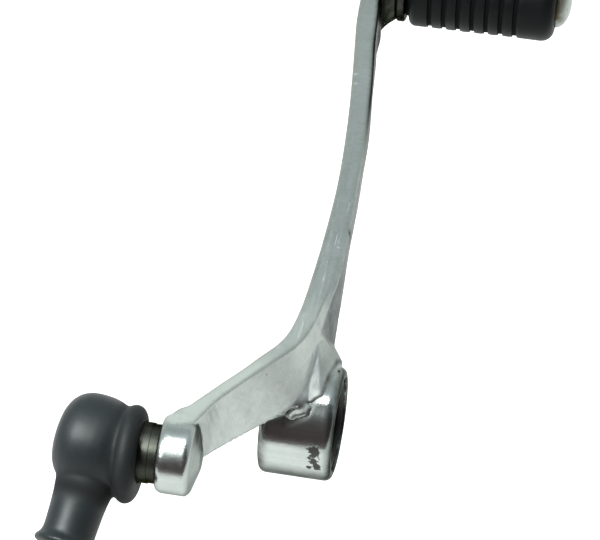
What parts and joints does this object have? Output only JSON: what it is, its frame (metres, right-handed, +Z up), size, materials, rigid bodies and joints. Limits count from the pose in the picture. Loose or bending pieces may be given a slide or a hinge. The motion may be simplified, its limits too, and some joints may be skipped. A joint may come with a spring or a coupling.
{
  "type": "gear shift lever",
  "caption": "Cranked cast foot lever on a bushed pivot, with a ribbed rubber toe peg at one end and a sealed ball joint for a linkage rod at the other.",
  "frame": {"origin": "centre of the pivot bore, at the middle of the pivot boss's length", "axes": "+X along the pivot axis, outboard towards the rider's foot; +Y from the pivot to the toe peg; +Z up with the lever lying as on a bench"},
  "size_m": [0.0825, 0.1985, 0.0426],
  "materials": {
    "cast_aluminium": "satin polished casting with handling marks",
    "bright_steel": "bright plated steel with fine pitting",
    "dark_steel": "dull dark steel, oily",
    "plated_steel": "zinc plated steel",
    "bush_polymer": "filled bearing polymer",
    "seat_polymer": "natural acetal",
    "seal_rubber": "moulded black rubber",
    "peg_rubber": "moulded black rubber, slight sheen",
    "boot_rubber": "soft blue-grey rubber, matt"
  },
  "bodies": {
    "pivot_mount": {"pivot_collar": "plated_steel"},
    "lever": {"lever_casting": "cast_aluminium", "pivot_bush_outer": "bush_polymer", "pivot_bush_inner": "bush_polymer", "dust_seal_outer": "seal_rubber", "dust_seal_inner": "seal_rubber", "toe_pin": "bright_steel", "toe_washer": "dark_steel", "toe_rubber": "peg_rubber", "ball_stud": "dark_steel", "stud_lock_washer": "dark_steel"},
    "boot_mouth": {"boot_ring": "plated_steel", "boot_lip": "boot_rubber"},
    "rod_end": {"joint_housing": "plated_steel", "ball_seat_front": "seat_polymer", "ball_seat_rear": "seat_polymer", "preload_spring": "plated_steel", "housing_plug": "plated_steel", "joint_boot": "boot_rubber"}
  },
  "joints": [
    {"name": "lever_pivot", "type": "hinge", "parent": "pivot_mount", "child": "lever", "pos_m": [0, 0, 0], "axis": [1, 0, 0], "range_deg": [-15, 15]},
    {"name": "joint_swing", "type": "hinge", "parent": "lever", "child": "boot_mouth", "pos_m": [-0.035, -0.0292, 0.0211], "axis": [1, 0, 0], "continuous": true},
    {"name": "joint_tilt", "type": "hinge", "parent": "boot_mouth", "child": "rod_end", "pos_m": [-0.035, -0.0292, 0.0211], "axis": [0, -0.4587, 0.8886], "range_deg": [-6.5, 22.5], "deforming": ["boot_lip"]}
  ]
}
